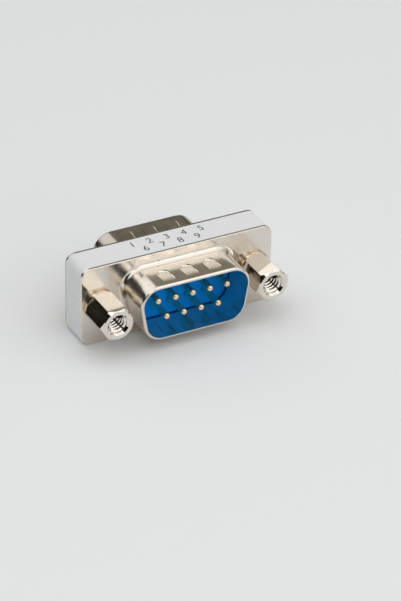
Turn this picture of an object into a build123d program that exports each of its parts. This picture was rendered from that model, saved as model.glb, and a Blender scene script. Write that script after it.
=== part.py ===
"""Slim nine-way adapter with a plug on both sides, built piece by piece in millimetres.

The front faces -Y, the wide side of the front plug is up, and the part stands on Z = 0.
The rear half is the front half turned over about the X axis, so its narrow side is up.
"""

import os
from math import atan2, cos, radians, sin, sqrt, tan

from build123d import *

os.makedirs("parts", exist_ok=True)

# Contacts
LONG_ROW_COUNT = 5
SHORT_ROW_COUNT = 4
PIN_PITCH = 2.77
ROW_SPACING = 2.84
PIN_DIAMETER = 1.02
PIN_CLEARANCE = 0.02
PIN_LENGTH = 5.2
PIN_BEND = 0.8
PIN_TIP_ROUND = 0.45

# D-shaped collar, measured on its inner face: how far it stands off the outermost contacts
COLLAR_END_MARGIN = 2.61
COLLAR_SIDE_MARGIN = 2.68
COLLAR_SLANT_ANGLE = 10.0
COLLAR_CORNER = 2.6
COLLAR_LENGTH = 6.0
ROOT_RADIUS = 0.7
LIP_RADIUS = 0.35

# Dimples: a thumbnail-shaped punch, deepest at its round end nearest the flange
DIMPLE_PITCH = 3.7
DIMPLE_WIDTH = 2.2
DIMPLE_DEPTH = 0.34
DIMPLE_RUN = 2.0
DIMPLE_START = 2.9
DIMPLE_ROUND = 0.3

# Flange and frame: how far the screws stand off the collar, and the edges off both
SHEET = 0.4
SCREW_OFFSET = 4.345
FLANGE_END_MARGIN = 2.91
FLANGE_SIDE_MARGIN = 2.175
FLANGE_CORNER = 1.5
FLANGE_EDGE = 0.12
FLANGE_HOLE = 3.05
FRAME_DEPTH = 4.6
SEAM_RISE = 0.85
SEAM_BEVEL = 0.1
CHANNEL = 3.1
CHANNEL_WALL = 1.295
PEG_DIAMETER = 0.7
PEG_LENGTH = 1.1

# Insulators
INSULATOR_SHOULDER = 0.7
INSULATOR_CORNER = 1.2
INSULATOR_CLEARANCE = 0.05
NOSE_LENGTH = 0.46
NOSE_ROUND = 0.15
NOSE_CLEARANCE = 0.1

# Jack screws, the nuts that keep them in the frame, and washers
HEX_ACROSS = 4.75
HEX_LENGTH = 5.7
HEX_FACE_DIAMETER = 4.5
HEX_ANGLE = {"left": 1.0, "right": 15.0}
THREAD_DIAMETER = 2.84
SINK_DIAMETER = 3.4
SOCKET_DEPTH = 4.7
SHANK_DIAMETER = 2.2
STUD_CLEARANCE = 0.04
STUD_START = 0.1
STUD_LENGTH = 2.3
STUD_BEVEL = 0.25
NUT_ACROSS = 4.4
NUT_THICKNESS = 1.6
NUT_CLEARANCE = 0.05
WASHER_DIAMETER = 4.9
WASHER_HOLE = 3.0
WASHER_THICKNESS = 0.5
WASHER_BEVEL = 0.1

COLLAR_WIDTH = (LONG_ROW_COUNT - 1) * PIN_PITCH + 2 * COLLAR_END_MARGIN
COLLAR_HEIGHT = ROW_SPACING + 2 * COLLAR_SIDE_MARGIN
SCREW_SPACING = COLLAR_WIDTH + 2 * SCREW_OFFSET
FLANGE_WIDTH = SCREW_SPACING + 2 * FLANGE_END_MARGIN
FLANGE_HEIGHT = COLLAR_HEIGHT + 2 * FLANGE_SIDE_MARGIN
CAVITY_WIDTH = SCREW_SPACING - CHANNEL - 2 * CHANNEL_WALL
INSULATOR_WIDTH = CAVITY_WIDTH - 2 * INSULATOR_CLEARANCE
INSULATOR_HEIGHT = COLLAR_HEIGHT + 2 * INSULATOR_SHOULDER
AXIS_HEIGHT = FLANGE_HEIGHT / 2
FLANGE_FACE = FRAME_DEPTH / 2 + SHEET
HEX_SEAT = FLANGE_FACE + WASHER_THICKNESS
HEX_END = HEX_SEAT + HEX_LENGTH
NUT_SEAT = FRAME_DEPTH / 2 - NUT_CLEARANCE - NUT_THICKNESS

FRONT = Plane(origin=(0, 0, AXIS_HEIGHT), x_dir=(1, 0, 0), z_dir=(0, -1, 0))
REAR = Plane(origin=(0, 0, AXIS_HEIGHT), x_dir=(1, 0, 0), z_dir=(0, 1, 0))
SIDES = {"front": FRONT, "rear": REAR}
SCREW_X = {"left": -SCREW_SPACING / 2, "right": SCREW_SPACING / 2}
SCREW_PLACES = [(x, 0) for x in SCREW_X.values()]


def row(count, height):
    """Contact places of one row, seen from the front of a plug."""
    return [((i - (count - 1) / 2) * PIN_PITCH, height) for i in range(count)]


PIN_PLACES = row(LONG_ROW_COUNT, ROW_SPACING / 2) + row(SHORT_ROW_COUNT, -ROW_SPACING / 2)


def d_outline(grow):
    """Face of the D outline, with its edge moved outwards by grow."""
    half = COLLAR_HEIGHT / 2 + grow
    lean = half * tan(radians(COLLAR_SLANT_ANGLE))
    middle = COLLAR_WIDTH / 2 + grow / cos(radians(COLLAR_SLANT_ANGLE))
    with BuildLine() as outline:
        FilletPolyline(
            (-middle - lean, half),
            (middle + lean, half),
            (middle - lean, -half),
            (-middle + lean, -half),
            radius=COLLAR_CORNER + grow,
            close=True,
        )
    make_face(outline.edges())


def punches(face, grow):
    """Six thumbnail punches, three on each long side of the collar, grown by grow all round."""
    wall = COLLAR_HEIGHT / 2 + SHEET
    radius = DIMPLE_WIDTH / 2
    slope = atan2(DIMPLE_DEPTH, radius + DIMPLE_RUN)
    drop = grow / cos(slope)
    tools = []
    for side in (1, -1):
        for x in (-DIMPLE_PITCH, 0, DIMPLE_PITCH):
            heel = face.from_local_coords(Vector(x, side * wall, FLANGE_FACE + DIMPLE_START))
            plan = Plane(origin=heel, x_dir=face.x_dir * side, z_dir=face.y_dir * side)
            toe = plan.from_local_coords(Vector(0, -DIMPLE_RUN, -drop))
            lean = plan.y_dir * cos(slope) - plan.z_dir * sin(slope)
            floor = Plane(origin=toe, x_dir=plan.x_dir, z_dir=plan.x_dir.cross(lean))
            with BuildPart() as tool:
                with BuildSketch(plan.offset(-2 * SHEET - DIMPLE_DEPTH)):
                    Circle(radius + grow)
                    with Locations((0, -DIMPLE_RUN - SHEET)):
                        Rectangle(2 * (radius + grow), DIMPLE_RUN + SHEET, align=(Align.CENTER, Align.MIN))
                extrude(amount=4 * SHEET + DIMPLE_DEPTH)
                split(bisect_by=floor, keep=Keep.TOP)
                sole = tool.faces().sort_by(Axis(plan.origin, plan.z_dir))[0]
                fillet(sole.edges(), radius=DIMPLE_ROUND + grow)
            tools.append(tool.part)
    return tools


def build_shell(side):
    """Flange and collar of one plug, drawn from one sheet."""
    face = SIDES[side]
    outward = Axis(face.origin, face.z_dir)

    with BuildPart() as bumps:
        add(punches(face, SHEET))
        with BuildSketch(face.offset(FLANGE_FACE)):
            d_outline(SHEET / 2)
        extrude(amount=COLLAR_LENGTH, mode=Mode.INTERSECT)

    with BuildPart() as shell:
        with BuildSketch(face.offset(FRAME_DEPTH / 2)):
            RectangleRounded(FLANGE_WIDTH, FLANGE_HEIGHT, FLANGE_CORNER)
        extrude(amount=SHEET)
        rim = shell.faces().sort_by(outward)[-1]
        fillet(rim.edges(), radius=FLANGE_EDGE)
        with BuildSketch(face.offset(FLANGE_FACE)):
            d_outline(SHEET)
        extrude(amount=COLLAR_LENGTH)
        root = shell.edges(Select.LAST).filter_by_position(outward, FLANGE_FACE, FLANGE_FACE)
        fillet(root, radius=ROOT_RADIUS)
        lip = shell.faces().sort_by(outward)[-1]
        fillet(lip.edges(), radius=LIP_RADIUS)
        with BuildSketch(face.offset(FRAME_DEPTH / 2)):
            d_outline(0)
        extrude(amount=SHEET + COLLAR_LENGTH, mode=Mode.SUBTRACT)
        mouth = shell.edges(Select.LAST).filter_by_position(outward, FRAME_DEPTH / 2, FRAME_DEPTH / 2)
        fillet(mouth, radius=ROOT_RADIUS + SHEET)
        with BuildSketch(face.offset(FRAME_DEPTH / 2)):
            with Locations(SCREW_PLACES):
                Circle(FLANGE_HOLE / 2)
        extrude(amount=SHEET, mode=Mode.SUBTRACT)
        add(bumps.part)
        add(punches(face, 0), mode=Mode.SUBTRACT)

    node = f"{side}_shell"
    shell.part.label = node
    export_step(shell.part, f"parts/{node}.step")


def build_insulator(side):
    """Base between the shells and a D-shaped nose, with cranked slots for the contacts."""
    face = SIDES[side]
    outward = Axis(face.origin, face.z_dir)

    with BuildPart() as insulator:
        with BuildSketch(face):
            RectangleRounded(INSULATOR_WIDTH, INSULATOR_HEIGHT, INSULATOR_CORNER)
        extrude(amount=FRAME_DEPTH / 2)
        with BuildSketch(face):
            d_outline(-NOSE_CLEARANCE)
        extrude(amount=FLANGE_FACE + NOSE_LENGTH)
        nose = insulator.faces().sort_by(outward)[-1]
        fillet(nose.edges(), radius=NOSE_ROUND)
        with BuildSketch(face):
            with Locations(PIN_PLACES):
                Circle(PIN_DIAMETER / 2 + PIN_CLEARANCE)
        extrude(amount=FLANGE_FACE + NOSE_LENGTH, mode=Mode.SUBTRACT)
        with BuildSketch(face):
            with Locations([(x, 0) for x, z in PIN_PLACES]):
                SlotCenterToCenter(ROW_SPACING, PIN_DIAMETER + 2 * PIN_CLEARANCE, rotation=90)
        extrude(amount=PIN_BEND, mode=Mode.SUBTRACT)

    node = f"{side}_insulator"
    insulator.part.label = node
    export_step(insulator.part, f"parts/{node}.step")


def build_contact(number, place):
    """One cranked contact: it keeps its X and changes rows between front and rear."""
    x, height = place
    tip = FLANGE_FACE + PIN_LENGTH
    middle = Plane(origin=(x, 0, AXIS_HEIGHT), x_dir=(0, 1, 0), z_dir=(1, 0, 0))

    with BuildPart() as contact:
        with BuildLine(middle) as path:
            FilletPolyline((-tip, height), (0, height), (0, -height), (tip, -height), radius=PIN_BEND)
        with BuildSketch(Plane(origin=path.line @ 0, z_dir=path.line % 0)):
            Circle(PIN_DIAMETER / 2)
        sweep()
        ends = contact.edges().filter_by(GeomType.CIRCLE).sort_by(Axis.Y)
        fillet([ends[0], ends[-1]], radius=PIN_TIP_ROUND)

    node = f"contact_pin_{number}"
    contact.part.label = node
    export_step(contact.part, f"parts/{node}.step")


def hexagon(face, x, turn):
    """Hexagon bar with both ends turned to a cone, standing on its washer."""
    corner = HEX_ACROSS / sqrt(3)
    with BuildPart(face) as bar:
        with Locations((x, 0, HEX_SEAT)):
            Cylinder(corner, HEX_LENGTH, align=(Align.CENTER, Align.CENTER, Align.MIN))
        chamfer(bar.edges().filter_by(GeomType.CIRCLE), length=corner - HEX_FACE_DIAMETER / 2)
        with BuildSketch(face.offset(HEX_SEAT)):
            with Locations((x, 0)):
                RegularPolygon(HEX_ACROSS / 2, 6, major_radius=False, rotation=turn)
        extrude(amount=HEX_LENGTH, mode=Mode.INTERSECT)
    return bar.part


def build_jack_screw(hand):
    """Front hexagon with a threaded socket, a slim shank and a threaded stud beyond the rear flange."""
    x = SCREW_X[hand]
    stud = FLANGE_FACE + STUD_START

    with BuildPart() as screw:
        add(hexagon(FRONT, x, HEX_ANGLE[hand]))
        with BuildSketch(FRONT.offset(HEX_SEAT)):
            with Locations((x, 0)):
                Circle(SHANK_DIAMETER / 2)
        extrude(amount=-HEX_SEAT - stud)
        with BuildSketch(REAR.offset(stud)):
            with Locations((x, 0)):
                Circle(THREAD_DIAMETER / 2 - STUD_CLEARANCE)
        extrude(amount=STUD_LENGTH)
        point = screw.edges().filter_by(GeomType.CIRCLE).sort_by(Axis.Y)[-1]
        chamfer(point, length=STUD_BEVEL)
        with BuildSketch(FRONT.offset(HEX_END)):
            with Locations((x, 0)):
                Circle(THREAD_DIAMETER / 2)
        extrude(amount=-SOCKET_DEPTH, mode=Mode.SUBTRACT)
        mouth = screw.edges(Select.LAST).filter_by(GeomType.CIRCLE).sort_by(Axis.Y)[0]
        chamfer(mouth, length=(SINK_DIAMETER - THREAD_DIAMETER) / 2)

    node = f"jack_screw_{hand}"
    screw.part.label = node
    export_step(screw.part, f"parts/{node}.step")


def build_jack_nut(hand):
    """Nut in the frame that the stud is screwed past, so that the shank turns in it and stays."""
    with BuildPart() as nut:
        with BuildSketch(REAR.offset(NUT_SEAT)):
            with Locations((SCREW_X[hand], 0)):
                RegularPolygon(NUT_ACROSS / 2, 6, major_radius=False, rotation=30)
                Circle(THREAD_DIAMETER / 2, mode=Mode.SUBTRACT)
        extrude(amount=NUT_THICKNESS)

    node = f"jack_nut_{hand}"
    nut.part.label = node
    export_step(nut.part, f"parts/{node}.step")


def build_washer(hand):
    """Thin washer between the front flange and a hexagon."""
    with BuildPart() as washer:
        with BuildSketch(FRONT.offset(FLANGE_FACE)):
            with Locations((SCREW_X[hand], 0)):
                Circle(WASHER_DIAMETER / 2)
                Circle(WASHER_HOLE / 2, mode=Mode.SUBTRACT)
        extrude(amount=WASHER_THICKNESS)
        chamfer(washer.edges().filter_by(GeomType.CIRCLE), length=WASHER_BEVEL)

    node = f"front_washer_{hand}"
    washer.part.label = node
    export_step(washer.part, f"parts/{node}.step")


def frame_outline():
    """Section of the frame: the flange outline with its cavity and two screw channels."""
    RectangleRounded(FLANGE_WIDTH, FLANGE_HEIGHT, FLANGE_CORNER)
    cavity_height = INSULATOR_HEIGHT + 2 * INSULATOR_CLEARANCE
    cavity_corner = INSULATOR_CORNER + INSULATOR_CLEARANCE
    RectangleRounded(CAVITY_WIDTH, cavity_height, cavity_corner, mode=Mode.SUBTRACT)
    with Locations(SCREW_PLACES):
        Circle(CHANNEL / 2, mode=Mode.SUBTRACT)


def nut_pockets():
    """Section of the two pockets that hold the nuts, upright so that a nut drops in from the seam."""
    with Locations(SCREW_PLACES):
        RegularPolygon(NUT_ACROSS / 2 + NUT_CLEARANCE, 6, major_radius=False, rotation=30)


SEAM = Plane.XY.offset(AXIS_HEIGHT + SEAM_RISE)
PEG_X = (CAVITY_WIDTH + CHANNEL_WALL) / 2
PEG_PLACES = [(-PEG_X, 0), (PEG_X, 0)]

with BuildPart() as upper_cover:
    with BuildSketch(FRONT.offset(-FRAME_DEPTH / 2)):
        frame_outline()
    extrude(amount=FRAME_DEPTH)
    with BuildSketch(REAR.offset(NUT_SEAT)):
        nut_pockets()
    extrude(amount=FRAME_DEPTH / 2 - NUT_SEAT, mode=Mode.SUBTRACT)
    split(bisect_by=SEAM, keep=Keep.TOP)
    ends = upper_cover.edges().filter_by(Axis.Y).group_by(Axis.X)
    chamfer([ends[0].sort_by(Axis.Z)[0], ends[-1].sort_by(Axis.Z)[0]], length=SEAM_BEVEL)
    with BuildSketch(SEAM):
        with Locations(PEG_PLACES):
            Circle(PEG_DIAMETER / 2)
    extrude(amount=-PEG_LENGTH)
upper_cover.part.label = "upper_cover"
export_step(upper_cover.part, "parts/upper_cover.step")

with BuildPart() as lower_cover:
    with BuildSketch(FRONT.offset(-FRAME_DEPTH / 2)):
        frame_outline()
        with Locations(SCREW_PLACES):
            Rectangle(CHANNEL, SEAM_RISE, align=(Align.CENTER, Align.MIN), mode=Mode.SUBTRACT)
    extrude(amount=FRAME_DEPTH)
    with BuildSketch(REAR.offset(NUT_SEAT)):
        nut_pockets()
    extrude(amount=FRAME_DEPTH / 2 - NUT_SEAT, mode=Mode.SUBTRACT)
    split(bisect_by=SEAM, keep=Keep.BOTTOM)
    ends = lower_cover.edges().filter_by(Axis.Y).group_by(Axis.X)
    chamfer([ends[0].sort_by(Axis.Z)[-1], ends[-1].sort_by(Axis.Z)[-1]], length=SEAM_BEVEL)
    with BuildSketch(SEAM):
        with Locations(PEG_PLACES):
            Circle(PEG_DIAMETER / 2 + INSULATOR_CLEARANCE)
    extrude(amount=-PEG_LENGTH - INSULATOR_CLEARANCE, mode=Mode.SUBTRACT)
lower_cover.part.label = "lower_cover"
export_step(lower_cover.part, "parts/lower_cover.step")

for side in SIDES:
    build_shell(side)
    build_insulator(side)

for number, place in enumerate(PIN_PLACES, start=1):
    build_contact(number, place)

for hand in SCREW_X:
    build_jack_screw(hand)
    build_jack_nut(hand)
    build_washer(hand)
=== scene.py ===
"""Slim nine-way D-sub adapter, plug to plug: finishes, fine pieces and studio around the CAD frame."""

import math

import bmesh
import bpy
from bpy.props import FloatProperty, FloatVectorProperty, IntProperty, PointerProperty
from mathutils import Matrix, Quaternion, Vector


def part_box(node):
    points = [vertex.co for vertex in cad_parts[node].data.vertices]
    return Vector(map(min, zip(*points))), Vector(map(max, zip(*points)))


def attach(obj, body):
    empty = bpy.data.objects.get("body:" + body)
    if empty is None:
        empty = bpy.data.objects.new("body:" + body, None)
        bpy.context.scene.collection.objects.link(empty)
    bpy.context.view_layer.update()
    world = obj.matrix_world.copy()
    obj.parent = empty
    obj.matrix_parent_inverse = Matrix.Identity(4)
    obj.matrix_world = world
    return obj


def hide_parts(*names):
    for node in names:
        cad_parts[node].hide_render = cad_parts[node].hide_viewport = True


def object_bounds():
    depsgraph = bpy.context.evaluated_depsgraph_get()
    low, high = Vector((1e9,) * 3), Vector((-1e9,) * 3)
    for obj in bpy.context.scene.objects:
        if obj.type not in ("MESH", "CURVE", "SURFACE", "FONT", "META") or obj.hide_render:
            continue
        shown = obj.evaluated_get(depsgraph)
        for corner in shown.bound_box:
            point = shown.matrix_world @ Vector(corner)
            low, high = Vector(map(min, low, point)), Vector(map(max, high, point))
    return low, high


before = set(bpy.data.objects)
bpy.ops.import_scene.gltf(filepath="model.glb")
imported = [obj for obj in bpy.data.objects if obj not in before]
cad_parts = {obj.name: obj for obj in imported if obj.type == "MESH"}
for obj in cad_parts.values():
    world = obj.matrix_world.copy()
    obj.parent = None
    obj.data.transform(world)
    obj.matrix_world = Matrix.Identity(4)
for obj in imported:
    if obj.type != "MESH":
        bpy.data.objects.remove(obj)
CAD_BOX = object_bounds()

bl_info = {
    "name": "D-sub adapter looks",
    "version": (1, 0, 0),
    "blender": (4, 5, 0),
    "location": "View3D > Sidebar > Adapter",
    "description": "Finishes, screw threads, contact numbers and studio for a slim nine-way adapter",
    "category": "Object",
}

MM = 0.001
SIDES = ("front", "rear")
HANDS = ("left", "right")
NUMBER_LINES = ("12345", "6789")

# Most values of a noise pattern lie between these two.
NOISE_LOW, NOISE_HIGH = 0.3, 0.7
# A Mix node has sockets for every kind of value: these are its two colours and their mixture.
MIX_A, MIX_B, MIXED = 6, 7, 2

# Points nearer than this are one point.
WELD = 0.0001 * MM
# The solid's own stud is cut off this far down the shank, and the new one starts twice as far down.
SHANK_CUT = 0.02 * MM
STUD_FOOT = 2 * SHANK_CUT
# The ridge in the socket starts this far behind the countersink.
RIDGE_SETBACK = 2 * SHANK_CUT
# How far a flank leans over for each unit of depth: the two flanks of a thread are 60 degrees apart.
FLANK = math.tan(math.radians(30))
# Edges that turn by more than this stay sharp.
SHARP_EDGE = math.radians(30)

# The camera, as fitted to the photograph: lengths in millimetres, angles in degrees, places in pixels.
IMAGE_WIDTH, IMAGE_HEIGHT = 401, 601
VIEW_CENTRE = (0.0, 0.0, 6.275)
VIEW_YAW, VIEW_ELEVATION, VIEW_ROLL = 27.39, 31.14, 0.80
VIEW_DISTANCE = 450.0
PIXELS_PER_MM = 6.882
CENTRE_PIXEL = (168.88, 276.44)
SENSOR_WIDTH = 36.0

# The studio, in metres.
CLIP_NEAR, CLIP_FAR = 0.01, 20.0
FLOOR_SIZE = 6.0
# The room is dark all round and grows lighter towards one side, between two cosines of the angle off it.
ROOM_DARK, ROOM_LIGHT, ROOM_SEEN = "#191711", "#837F73", "#DEDFE1"
LIGHT_SIDE = (0.2, 0.6, 0.77)
FADE_START, FADE_END = 0.45, 0.95


def linear(hex_colour):
    """An sRGB hex value as linear red, green and blue."""
    channels = [int(hex_colour[i:i + 2], 16) / 255 for i in (1, 3, 5)]
    return tuple(c / 12.92 if c <= 0.04045 else ((c + 0.055) / 1.055) ** 2.4 for c in channels)


def shade(colour, factor=1.0):
    """A linear colour made darker or lighter, with its alpha."""
    return (*[min(c * factor, 1) for c in colour], 1)


def pattern_scale(size_mm):
    """The texture scale whose pattern repeats about every size_mm millimetres."""
    return 1 / (size_mm * MM)


def set_inputs(tree, node, inputs):
    """Links each input that is given a socket, and sets each other one to its value."""
    for socket, value in inputs.items():
        if isinstance(value, bpy.types.NodeSocket):
            tree.links.new(value, node.inputs[socket])
        else:
            node.inputs[socket].default_value = value


def add_node(tree, kind, inputs=None, **settings):
    """Adds one node with its settings and its inputs."""
    made = tree.nodes.new(kind)
    for name, value in settings.items():
        setattr(made, name, value)
    set_inputs(tree, made, inputs or {})
    return made


def colour_prop(name, description, hex_colour):
    """A colour that a user may change."""
    return FloatVectorProperty(
        name=name, description=description, default=linear(hex_colour), subtype="COLOR", min=0, max=1
    )


def length_prop(name, description, size_mm):
    """A length that a user may change."""
    return FloatProperty(
        name=name, description=description, default=size_mm * MM, unit="LENGTH", precision=6
    )


class AdapterColours(bpy.types.PropertyGroup):
    """Colours of the finishes."""

    nickel: colour_prop("Nickel", "Bright nickel plating", "#E7E0D6")
    steel: colour_prop("Washer", "Yellowish plating of the washers", "#DCC9AE")
    gold: colour_prop("Gold", "Flash gold plating of the contacts", "#EEE0C2")
    blue: colour_prop("Blue", "Blue moulding compound of the insulators", "#008FFE")
    white: colour_prop("White", "White moulding compound of the frame", "#ECEEF0")
    ink: colour_prop("Ink", "Pad-printed contact numbers", "#3C3D42")
    floor: colour_prop("Floor", "Paper that the adapter stands on", "#F0F2F4")


class ThreadSize(bpy.types.PropertyGroup):
    """Screw thread of the jack screws: a ridge in the socket and a groove round the stud."""

    pitch: length_prop("Pitch", "Distance between turns", 0.635)
    root_radius: length_prop("Root radius", "Radius at the ridge's foot, just inside the wall", 1.43)
    depth: length_prop("Depth", "Height of the ridge", 0.32)
    crest: length_prop("Crest", "Width of the ridge's flat top", 0.08)
    socket_depth: length_prop("Socket depth", "How far the ridge goes into the socket", 4.5)
    mouth_radius: length_prop("Mouth radius", "Radius of the countersink at the socket's mouth", 1.7)
    stud_radius: length_prop("Stud radius", "Outer radius of the stud", 1.38)
    stud_length: length_prop("Stud length", "Length of the stud behind the frame", 2.3)
    stud_bevel: length_prop("Stud bevel", "Bevel at the stud's tip", 0.25)
    steps: IntProperty(name="Steps", description="Segments in each turn", default=40, min=12)


class NumberSize(bpy.types.PropertyGroup):
    """Contact numbers on the top."""

    height: length_prop("Height", "Size of the type", 1.9)
    thickness: length_prop("Thickness", "Thickness of the ink", 0.008)
    pitch: length_prop("Pitch", "Distance between contacts in a row", 2.77)
    row_gap: length_prop("Row gap", "Distance between the two lines of numbers", 1.75)


def new_material(name):
    """An empty node material with its shader and its Object coordinates."""
    material = bpy.data.materials.new(name)
    material.use_nodes = True
    tree = material.node_tree
    tree.nodes.clear()
    shader = add_node(tree, "ShaderNodeBsdfPrincipled")
    add_node(tree, "ShaderNodeOutputMaterial", {"Surface": shader.outputs["BSDF"]})
    place = add_node(tree, "ShaderNodeTexCoord").outputs["Object"]
    return material, tree, shader, place


def nickel_sheet(name, colour, darkest, lightest):
    """The plating of a shell, clouded between two shades of its colour."""
    material, tree, shader, place = new_material(name)
    # Bright nickel on drawn sheet: a warm grey mirror, a little clouded and faintly pebbled by the drawing.
    cloud = add_node(
        tree, "ShaderNodeTexNoise", {"Vector": place, "Scale": pattern_scale(2.2), "Detail": 4.0}
    )
    tint = add_node(
        tree, "ShaderNodeMix",
        {"Factor": cloud.outputs["Fac"], MIX_A: shade(colour, darkest), MIX_B: shade(colour, lightest)},
        data_type="RGBA",
    )
    # A few dark pores and rub marks in the plating, about 0.3 mm across.
    marks = add_node(
        tree, "ShaderNodeTexNoise", {"Vector": place, "Scale": pattern_scale(0.6), "Detail": 2.0}
    )
    mark = add_node(
        tree, "ShaderNodeMapRange", {"Value": marks.outputs["Fac"], "From Min": 0.7, "From Max": 0.76}
    )
    soiled = add_node(
        tree, "ShaderNodeMix",
        {"Factor": mark.outputs["Result"], MIX_A: tint.outputs[MIXED], MIX_B: shade(colour, 0.55)},
        data_type="RGBA",
    )
    rough = add_node(
        tree, "ShaderNodeMapRange",
        {
            "Value": cloud.outputs["Fac"], "From Min": NOISE_LOW, "From Max": NOISE_HIGH,
            "To Min": 0.15, "To Max": 0.24,
        },
    )
    # The real grain is about 0.05 mm; it is drawn at 0.25 mm so that it shows.
    pebble = add_node(
        tree, "ShaderNodeTexNoise", {"Vector": place, "Scale": pattern_scale(0.25), "Detail": 2.0}
    )
    grain = add_node(
        tree, "ShaderNodeBump",
        {"Height": pebble.outputs["Fac"], "Strength": 0.12, "Distance": 0.02 * MM},
    )
    wave = add_node(
        tree, "ShaderNodeTexNoise", {"Vector": place, "Scale": pattern_scale(1.3), "Detail": 1.0}
    )
    dents = add_node(
        tree, "ShaderNodeBump",
        {
            "Height": wave.outputs["Fac"], "Normal": grain.outputs["Normal"],
            "Strength": 0.5, "Distance": 0.02 * MM,
        },
    )
    set_inputs(tree, shader, {
        "Base Color": soiled.outputs[MIXED],
        "Metallic": 1.0,
        "Roughness": rough.outputs["Result"],
        "Normal": dents.outputs["Normal"],
    })
    return material


def nickel_bar(colour):
    """The plating of the jack screws and their nuts."""
    material, tree, shader, place = new_material("nickel_plated_turned_brass_bar")
    # Plated hexagon bar: brighter than the sheet, with lines along the bar left by drawing it.
    stretch = add_node(tree, "ShaderNodeMapping", {"Vector": place, "Scale": (1.0, 0.06, 1.0)})
    grain = add_node(
        tree, "ShaderNodeTexNoise",
        {"Vector": stretch.outputs["Vector"], "Scale": pattern_scale(0.3), "Detail": 3.0},
    )
    rough = add_node(
        tree, "ShaderNodeMapRange",
        {
            "Value": grain.outputs["Fac"], "From Min": NOISE_LOW, "From Max": NOISE_HIGH,
            "To Min": 0.05, "To Max": 0.11,
        },
    )
    bump = add_node(
        tree, "ShaderNodeBump",
        {"Height": grain.outputs["Fac"], "Strength": 0.1, "Distance": 0.005 * MM},
    )
    set_inputs(tree, shader, {
        "Base Color": shade(colour),
        "Metallic": 1.0,
        "Roughness": rough.outputs["Result"],
        "Normal": bump.outputs["Normal"],
    })
    return material


def plated_washer(colour):
    """The plating of the washers."""
    material, tree, shader, place = new_material("passivated_zinc_on_steel_washer")
    # Yellow-passivated zinc: a brassy mirror with a cloudy, slightly uneven tint.
    cloud = add_node(
        tree, "ShaderNodeTexNoise", {"Vector": place, "Scale": pattern_scale(0.8), "Detail": 3.0}
    )
    tint = add_node(
        tree, "ShaderNodeMix",
        {"Factor": cloud.outputs["Fac"], MIX_A: shade(colour, 0.85), MIX_B: shade(colour)},
        data_type="RGBA",
    )
    set_inputs(tree, shader, {"Base Color": tint.outputs[MIXED], "Metallic": 1.0, "Roughness": 0.18})
    return material


def gold_contact(colour):
    """The plating of the contacts."""
    material, tree, shader, place = new_material("flash_gold_plated_brass")
    # Thin gold over a turned pin: bright, with faint rings round the pin from turning.
    stretch = add_node(tree, "ShaderNodeMapping", {"Vector": place, "Scale": (0.1, 1.0, 0.1)})
    rings = add_node(
        tree, "ShaderNodeTexNoise",
        {"Vector": stretch.outputs["Vector"], "Scale": pattern_scale(0.2), "Detail": 2.0},
    )
    rough = add_node(
        tree, "ShaderNodeMapRange",
        {
            "Value": rings.outputs["Fac"], "From Min": NOISE_LOW, "From Max": NOISE_HIGH,
            "To Min": 0.12, "To Max": 0.24,
        },
    )
    set_inputs(tree, shader, {
        "Base Color": shade(colour), "Metallic": 1.0, "Roughness": rough.outputs["Result"]
    })
    return material


def blue_moulding(colour):
    """The compound of the insulators."""
    material, tree, shader, place = new_material("glass_filled_pbt_moulding")
    # Glass-filled polyester: satin, with flow clouds and short fibres just under the skin.
    cloud = add_node(
        tree, "ShaderNodeTexNoise", {"Vector": place, "Scale": pattern_scale(1.6), "Detail": 4.0}
    )
    tint = add_node(
        tree, "ShaderNodeMix",
        {"Factor": cloud.outputs["Fac"], MIX_A: shade(colour, 0.9), MIX_B: shade(colour, 1.15)},
        data_type="RGBA",
    )
    grit = add_node(
        tree, "ShaderNodeTexNoise", {"Vector": place, "Scale": pattern_scale(0.18), "Detail": 2.0}
    )
    bump = add_node(
        tree, "ShaderNodeBump",
        {"Height": grit.outputs["Fac"], "Strength": 0.25, "Distance": 0.02 * MM},
    )
    set_inputs(tree, shader, {
        "Base Color": tint.outputs[MIXED],
        "Roughness": 0.45,
        "IOR": 1.55,
        "Specular IOR Level": 0.07,
        "Normal": bump.outputs["Normal"],
    })
    return material


def white_moulding(colour):
    """The compound of the two covers."""
    material, tree, shader, place = new_material("abs_moulding_spark_eroded")
    # ABS from a spark-eroded tool: an even matt skin with a fine grit and a very faint flow cloud.
    cloud = add_node(
        tree, "ShaderNodeTexNoise", {"Vector": place, "Scale": pattern_scale(3.5), "Detail": 3.0}
    )
    tint = add_node(
        tree, "ShaderNodeMix",
        {"Factor": cloud.outputs["Fac"], MIX_A: shade(colour, 0.96), MIX_B: shade(colour, 1.03)},
        data_type="RGBA",
    )
    # The real grit is about 0.03 mm; it is drawn at 0.16 mm so that it shows.
    grit = add_node(
        tree, "ShaderNodeTexNoise", {"Vector": place, "Scale": pattern_scale(0.16), "Detail": 2.0}
    )
    bump = add_node(
        tree, "ShaderNodeBump",
        {"Height": grit.outputs["Fac"], "Strength": 0.3, "Distance": 0.02 * MM},
    )
    set_inputs(tree, shader, {
        "Base Color": tint.outputs[MIXED],
        "Roughness": 0.5,
        "IOR": 1.53,
        "Normal": bump.outputs["Normal"],
    })
    return material


def printed_ink(colour):
    """The ink of the contact numbers."""
    material, tree, shader, place = new_material("pad_printing_ink")
    # Pad-printed ink: thin and matt, and a little lighter where the pad left less of it.
    speck = add_node(
        tree, "ShaderNodeTexNoise", {"Vector": place, "Scale": pattern_scale(0.3), "Detail": 3.0}
    )
    tint = add_node(
        tree, "ShaderNodeMix",
        {"Factor": speck.outputs["Fac"], MIX_A: shade(colour), MIX_B: shade(colour, 1.8)},
        data_type="RGBA",
    )
    set_inputs(tree, shader, {"Base Color": tint.outputs[MIXED], "Roughness": 0.6})
    return material


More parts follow.
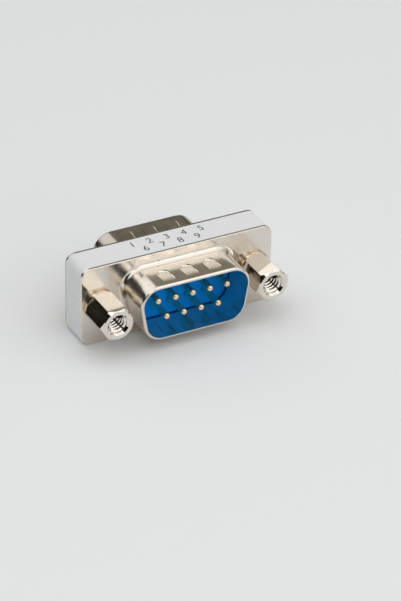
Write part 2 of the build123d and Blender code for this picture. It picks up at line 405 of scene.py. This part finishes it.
def background_paper(colour):
    """The paper of the floor."""
    material, tree, shader, place = new_material("matt_background_paper")
    # Matt paper: no gloss and an almost invisible tooth.
    tooth = add_node(
        tree, "ShaderNodeTexNoise", {"Vector": place, "Scale": pattern_scale(0.6), "Detail": 2.0}
    )
    bump = add_node(
        tree, "ShaderNodeBump",
        {"Height": tooth.outputs["Fac"], "Strength": 0.05, "Distance": 0.02 * MM},
    )
    set_inputs(tree, shader, {
        "Base Color": shade(colour),
        "Roughness": 0.9,
        "Specular IOR Level": 0.1,
        "Normal": bump.outputs["Normal"],
    })
    return material


def wear(finish, *pieces):
    """Gives pieces one finish in place of what they had."""
    for piece in pieces:
        piece.data.materials.clear()
        piece.data.materials.append(finish)


def nodes(*names):
    """The CAD objects of these names."""
    return [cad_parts[name] for name in names]


def only(piece):
    """Selects just this piece and makes it active."""
    bpy.ops.object.select_all(action="DESELECT")
    piece.select_set(True)
    bpy.context.view_layer.objects.active = piece


def pick(piece, test):
    """Selects just the vertices that pass the test, in edit mode."""
    bpy.ops.mesh.select_all(action="DESELECT")
    form = bmesh.from_edit_mesh(piece.data)
    for vertex in form.verts:
        vertex.select = test(vertex.co)
    form.select_flush(True)
    bmesh.update_edit_mesh(piece.data)


def tidy(piece):
    """Merges double points, drops faces without area and turns all normals outward."""
    only(piece)
    bpy.ops.object.mode_set(mode="EDIT")
    bpy.ops.mesh.select_all(action="SELECT")
    bpy.ops.mesh.remove_doubles(threshold=WELD)
    bpy.ops.mesh.dissolve_degenerate(threshold=WELD)
    bpy.ops.mesh.normals_make_consistent(inside=False)
    bpy.ops.object.mode_set(mode="OBJECT")


def combine(piece, tool, operation):
    """Joins a tool to a piece or takes it away, and deletes the tool."""
    only(piece)
    modifier = piece.modifiers.new(operation.lower(), "BOOLEAN")
    modifier.object = tool
    modifier.operation = operation
    modifier.solver = "EXACT"
    bpy.ops.object.modifier_apply(modifier=modifier.name)
    bpy.data.objects.remove(tool)
    tidy(piece)


def thread_coil(axis, start, end, thread):
    """A right-hand coil of the thread's form, from one place along the axis to another."""
    # The outline of the ridge: wide at its foot, away from the axis, and narrow at its crest.
    foot = thread.crest + 2 * thread.depth * FLANK
    bpy.ops.object.select_all(action="DESELECT")
    bpy.ops.mesh.primitive_plane_add(size=1.0)
    coil = bpy.context.object
    bpy.ops.object.mode_set(mode="EDIT")
    bpy.ops.transform.resize(value=(thread.depth, foot, 1), center_override=(0, 0, 0))
    pick(coil, lambda place: place.x < 0)
    bpy.ops.transform.resize(value=(1, thread.crest / foot, 1), center_override=(0, 0, 0))
    bpy.ops.mesh.select_all(action="SELECT")
    bpy.ops.transform.translate(value=(thread.root_radius - thread.depth / 2, start, 0))
    bpy.ops.mesh.delete(type="ONLY_FACE")
    bpy.ops.object.mode_set(mode="OBJECT")
    # The outline goes round the axis, and both ends of the coil are closed.
    screw = coil.modifiers.new("screw", "SCREW")
    screw.axis = "Y"
    screw.screw_offset = thread.pitch
    screw.iterations = math.ceil((end - start) / thread.pitch)
    screw.steps = screw.render_steps = thread.steps
    bpy.ops.object.modifier_apply(modifier=screw.name)
    bpy.ops.object.mode_set(mode="EDIT")
    bpy.ops.mesh.select_all(action="DESELECT")
    bpy.ops.mesh.select_non_manifold()
    bpy.ops.mesh.fill_holes(sides=4)
    bpy.ops.mesh.select_all(action="SELECT")
    bpy.ops.mesh.normals_make_consistent(inside=False)
    # Half a step of turn keeps the coil's edges off those of the bore and the stud.
    bpy.ops.transform.rotate(value=math.pi / thread.steps, orient_axis="Y", center_override=(0, 0, 0))
    bpy.ops.transform.translate(value=(axis.x, 0, axis.z))
    bpy.ops.object.mode_set(mode="OBJECT")
    return coil


def socket_ridge(axis, mouth, thread):
    """The ridge in the socket, cut back to just inside the countersink."""
    ridge = thread_coil(axis, mouth - thread.pitch, mouth + thread.socket_depth - thread.pitch, thread)
    # A cone as steep as the countersink, halfway up at the socket's mouth.
    reach = thread.mouth_radius
    bpy.ops.object.select_all(action="DESELECT")
    bpy.ops.mesh.primitive_cone_add(
        vertices=thread.steps, radius1=2 * reach, radius2=0, depth=2 * reach, rotation=(-math.pi / 2, 0, 0),
        location=(axis.x, mouth + RIDGE_SETBACK, axis.z),
    )
    combine(ridge, bpy.context.object, "DIFFERENCE")
    return ridge


def threaded_stud(axis, tip, thread):
    """The stud with its groove."""
    foot = tip - thread.stud_length - STUD_FOOT
    middle = (foot + tip) / 2
    bpy.ops.object.select_all(action="DESELECT")
    bpy.ops.mesh.primitive_cylinder_add(
        vertices=thread.steps, radius=thread.stud_radius, depth=tip - foot, rotation=(math.pi / 2, 0, 0),
        location=(axis.x, middle, axis.z),
    )
    stud = bpy.context.object
    bpy.ops.object.transform_apply(location=True, rotation=True)
    bpy.ops.object.mode_set(mode="EDIT")
    pick(stud, lambda place: place.y > middle)
    bpy.ops.mesh.bevel(offset=thread.stud_bevel, segments=1)
    bpy.ops.object.mode_set(mode="OBJECT")
    combine(stud, thread_coil(axis, foot - thread.pitch, tip + thread.pitch, thread), "DIFFERENCE")
    return stud


def threaded_jack(hand, thread, finish):
    """A jack screw with both its threads: the solid's shape, with a new stud and a ridge in the socket."""
    node = f"jack_screw_{hand}"
    low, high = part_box(node)
    axis = (low + high) / 2
    jack = bpy.data.objects.new(f"threaded_jack_{hand}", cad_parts[node].data.copy())
    bpy.context.collection.objects.link(jack)
    only(jack)
    bpy.ops.mesh.customdata_custom_splitnormals_clear()
    bpy.ops.object.mode_set(mode="EDIT")
    bpy.ops.mesh.select_all(action="SELECT")
    bpy.ops.mesh.remove_doubles(threshold=WELD)
    bpy.ops.mesh.bisect(
        plane_co=(0, high.y - thread.stud_length - SHANK_CUT, 0), plane_no=(0, 1, 0), use_fill=True,
        clear_outer=True, threshold=WELD,
    )
    bpy.ops.object.mode_set(mode="OBJECT")
    combine(jack, threaded_stud(axis, high.y, thread), "UNION")
    combine(jack, socket_ridge(axis, low.y, thread), "UNION")
    bpy.ops.object.mode_set(mode="EDIT")
    bpy.ops.mesh.quads_convert_to_tris(quad_method="BEAUTY", ngon_method="BEAUTY")
    bpy.ops.object.mode_set(mode="OBJECT")
    bpy.ops.object.shade_smooth_by_angle(angle=SHARP_EDGE)
    wear(finish, jack)
    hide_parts(node)
    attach(jack, f"jack_{hand}")


def contact_number(text, x, y, numbers, finish):
    """One printed contact number on the top of the frame, upright seen from the front."""
    bpy.ops.object.select_all(action="DESELECT")
    bpy.ops.object.text_add()
    figure = bpy.context.object
    figure.name = f"contact_number_{text}"
    figure.data.body = text
    figure.data.size = numbers.height
    figure.data.align_x, figure.data.align_y = "CENTER", "CENTER"
    figure.data.extrude = numbers.thickness / 2
    bpy.ops.object.convert(target="MESH")
    tidy(figure)
    figure.location = (x, y, CAD_BOX[1].z)
    bpy.ops.object.transform_apply(location=True)
    wear(finish, figure)
    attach(figure, "housing")


def studio_floor(finish):
    """The floor that the adapter stands on."""
    bpy.ops.object.select_all(action="DESELECT")
    bpy.ops.mesh.primitive_plane_add(size=FLOOR_SIZE, location=(0, 0, CAD_BOX[0].z))
    floor = bpy.context.object
    floor.name = "studio_floor"
    bpy.ops.object.transform_apply(location=True)
    wear(finish, floor)


def softbox(name, place, size, radiance, aim=(0, 0, 0), turn=0.0):
    """One large soft lamp, as bright all over as the radiance says, turned about its own axis."""
    bpy.ops.object.light_add(type="AREA", location=place)
    lamp = bpy.context.object
    lamp.name = name
    facing = (Vector(aim) - Vector(place)).to_track_quat("-Z", "Y")
    lamp.rotation_euler = (facing @ Quaternion((0, 0, 1), math.radians(turn))).to_euler()
    lamp.data.shape = "RECTANGLE"
    lamp.data.size, lamp.data.size_y = size
    lamp.data.energy = radiance * math.pi * size[0] * size[1]


def studio_room():
    """The room round the adapter, with a plain background where it is seen past the floor."""
    room = bpy.data.worlds.new("studio_room")
    room.use_nodes = True
    tree = room.node_tree
    tree.nodes.clear()
    direction = add_node(tree, "ShaderNodeTexCoord").outputs["Generated"]
    towards = add_node(
        tree, "ShaderNodeVectorMath", {0: direction, 1: LIGHT_SIDE}, operation="DOT_PRODUCT"
    )
    ramp = add_node(tree, "ShaderNodeValToRGB", {"Fac": towards.outputs["Value"]})
    dark, light = ramp.color_ramp.elements
    dark.position, dark.color = FADE_START, shade(linear(ROOM_DARK))
    light.position, light.color = FADE_END, shade(linear(ROOM_LIGHT))
    dim = add_node(tree, "ShaderNodeBackground", {"Color": ramp.outputs["Color"]})
    plain = add_node(tree, "ShaderNodeBackground", {"Color": shade(linear(ROOM_SEEN))})
    seen = add_node(tree, "ShaderNodeLightPath").outputs["Is Camera Ray"]
    both = add_node(
        tree, "ShaderNodeMixShader",
        {"Fac": seen, 1: dim.outputs["Background"], 2: plain.outputs["Background"]},
    )
    add_node(tree, "ShaderNodeOutputWorld", {"Surface": both.outputs["Shader"]})
    return room


def photo_camera():
    """A long lens at the photograph's angle, aimed so that the adapter lies left of the middle."""
    yaw, lift, roll = (math.radians(angle) for angle in (VIEW_YAW, VIEW_ELEVATION, VIEW_ROLL))
    ahead = Vector((math.sin(yaw) * math.cos(lift), math.cos(yaw) * math.cos(lift), -math.sin(lift)))
    right = Vector((math.cos(yaw), -math.sin(yaw), 0))
    up = right.cross(ahead)
    right, up = (
        math.cos(roll) * right + math.sin(roll) * up,
        math.cos(roll) * up - math.sin(roll) * right,
    )
    centre = Vector(VIEW_CENTRE)
    eye = centre - VIEW_DISTANCE * ahead
    aim = (
        centre
        + right * (IMAGE_WIDTH / 2 - CENTRE_PIXEL[0]) / PIXELS_PER_MM
        - up * (IMAGE_HEIGHT / 2 - CENTRE_PIXEL[1]) / PIXELS_PER_MM
    )
    back = (eye - aim).normalized()
    right = up.cross(back).normalized()
    up = back.cross(right)
    bpy.ops.object.camera_add()
    camera = bpy.context.object
    camera.name = "photo_camera"
    turn = Matrix((right, up, back)).transposed().to_4x4()
    camera.matrix_world = Matrix.Translation(eye * MM) @ turn
    camera.data.sensor_width = SENSOR_WIDTH
    camera.data.lens = PIXELS_PER_MM * VIEW_DISTANCE / IMAGE_HEIGHT * SENSOR_WIDTH
    camera.data.clip_start, camera.data.clip_end = CLIP_NEAR, CLIP_FAR
    return camera


class ADAPTER_OT_shells(bpy.types.Operator):
    """Plates the two drawn shells with nickel, the rear one painted darker as painted shade for its dimmer
    reflections
    """

    bl_idname = "adapter.shells"
    bl_label = "Shells"

    def execute(self, context):
        nickel = context.scene.adapter_colours.nickel
        bright = nickel_sheet("nickel_plated_drawn_steel_sheet", nickel, darkest=0.93, lightest=1.05)
        wear(bright, *nodes("front_shell"))
        # The rear shell's nickel is painted darker all over: painted shade standing in for the dim room
        # that it reflects.
        painted_shade_rear = nickel_sheet("nickel_sheet_painted_shade_rear", nickel, darkest=0.5, lightest=0.85)
        wear(painted_shade_rear, *nodes("rear_shell"))
        return {"FINISHED"}


class ADAPTER_OT_jacks(bpy.types.Operator):
    """Cuts the threads of the jack screws and plates the screws, nuts and washers"""

    bl_idname = "adapter.jacks"
    bl_label = "Jacks and washers"

    def execute(self, context):
        colours = context.scene.adapter_colours
        bar = nickel_bar(colours.nickel)
        washer = plated_washer(colours.steel)
        for hand in HANDS:
            threaded_jack(hand, context.scene.adapter_thread, bar)
            wear(bar, *nodes(f"jack_screw_{hand}", f"jack_nut_{hand}"))
            wear(washer, *nodes(f"front_washer_{hand}"))
        return {"FINISHED"}


class ADAPTER_OT_contacts(bpy.types.Operator):
    """Plates the nine contacts with gold"""

    bl_idname = "adapter.contacts"
    bl_label = "Contacts"

    def execute(self, context):
        pins = [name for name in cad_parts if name.startswith("contact_pin")]
        wear(gold_contact(context.scene.adapter_colours.gold), *nodes(*pins))
        return {"FINISHED"}


class ADAPTER_OT_mouldings(bpy.types.Operator):
    """Gives the insulators and the frame their moulding compounds"""

    bl_idname = "adapter.mouldings"
    bl_label = "Mouldings"

    def execute(self, context):
        colours = context.scene.adapter_colours
        wear(blue_moulding(colours.blue), *nodes(*[f"{side}_insulator" for side in SIDES]))
        wear(white_moulding(colours.white), *nodes("upper_cover", "lower_cover"))
        return {"FINISHED"}


class ADAPTER_OT_numbers(bpy.types.Operator):
    """Prints the contact numbers on the top, the long row behind the short one"""

    bl_idname = "adapter.numbers"
    bl_label = "Contact numbers"

    def execute(self, context):
        numbers = context.scene.adapter_numbers
        finish = printed_ink(context.scene.adapter_colours.ink)
        for line, figures in enumerate(NUMBER_LINES):
            for place, text in enumerate(figures):
                x = (place - (len(figures) - 1) / 2) * numbers.pitch
                contact_number(text, x, (0.5 - line) * numbers.row_gap, numbers, finish)
        return {"FINISHED"}


class ADAPTER_OT_studio(bpy.types.Operator):
    """Lays the floor and sets up the lamps, the room and the camera"""

    bl_idname = "adapter.studio"
    bl_label = "Studio"

    def execute(self, context):
        scene = context.scene
        studio_floor(background_paper(scene.adapter_colours.floor))
        softbox(
            "softbox_overhead", place=(-0.27, -0.1, 0.75), size=(2.0, 1.1), radiance=1.1,
            aim=(-0.27, -0.1, 0), turn=-20.0,
        )
        softbox("softbox_front_right", place=(0.53, -0.68, 0.4), size=(1.0, 0.65), radiance=1.15)
        softbox("softbox_right", place=(0.9, 0.1, 0.45), size=(0.9, 0.7), radiance=0.6)
        softbox("softbox_back", place=(-0.18, 0.7, 0.51), size=(0.72, 0.36), radiance=0.95)
        softbox("softbox_front_low", place=(-0.08, -0.87, 0.23), size=(0.4, 0.3), radiance=1.2)
        softbox("softbox_front_high", place=(-0.22, -0.66, 0.56), size=(0.3, 0.3), radiance=1.6)
        scene.world = studio_room()
        scene.view_settings.view_transform = "Standard"
        scene.camera = photo_camera()
        return {"FINISHED"}


class ADAPTER_PT_looks(bpy.types.Panel):
    """Lists the adapter's pieces and sizes"""

    bl_label = "Adapter"
    bl_idname = "ADAPTER_PT_looks"
    bl_space_type = "VIEW_3D"
    bl_region_type = "UI"
    bl_category = "Adapter"

    def draw(self, context):
        for operator in OPERATORS:
            self.layout.operator(operator.bl_idname)
        for group in GROUPS:
            settings = getattr(context.scene, group)
            for name in settings.__annotations__:
                self.layout.prop(settings, name)


OPERATORS = (
    ADAPTER_OT_shells,
    ADAPTER_OT_jacks,
    ADAPTER_OT_contacts,
    ADAPTER_OT_mouldings,
    ADAPTER_OT_numbers,
    ADAPTER_OT_studio,
)
GROUPS = {"adapter_colours": AdapterColours, "adapter_thread": ThreadSize, "adapter_numbers": NumberSize}


def register():
    """Adds the classes to Blender, and the groups of values to its scenes."""
    for kind in (*GROUPS.values(), *OPERATORS, ADAPTER_PT_looks):
        bpy.utils.register_class(kind)
    for name, kind in GROUPS.items():
        setattr(bpy.types.Scene, name, PointerProperty(type=kind))


def unregister():
    """Takes out what register added."""
    for name in GROUPS:
        delattr(bpy.types.Scene, name)
    for kind in (ADAPTER_PT_looks, *reversed(OPERATORS), *reversed(GROUPS.values())):
        bpy.utils.unregister_class(kind)


def main():
    """Makes every piece in order."""
    register()
    for operator in OPERATORS:
        group, name = operator.bl_idname.split(".")
        getattr(getattr(bpy.ops, group), name)()


if __name__ == "__main__":
    main()
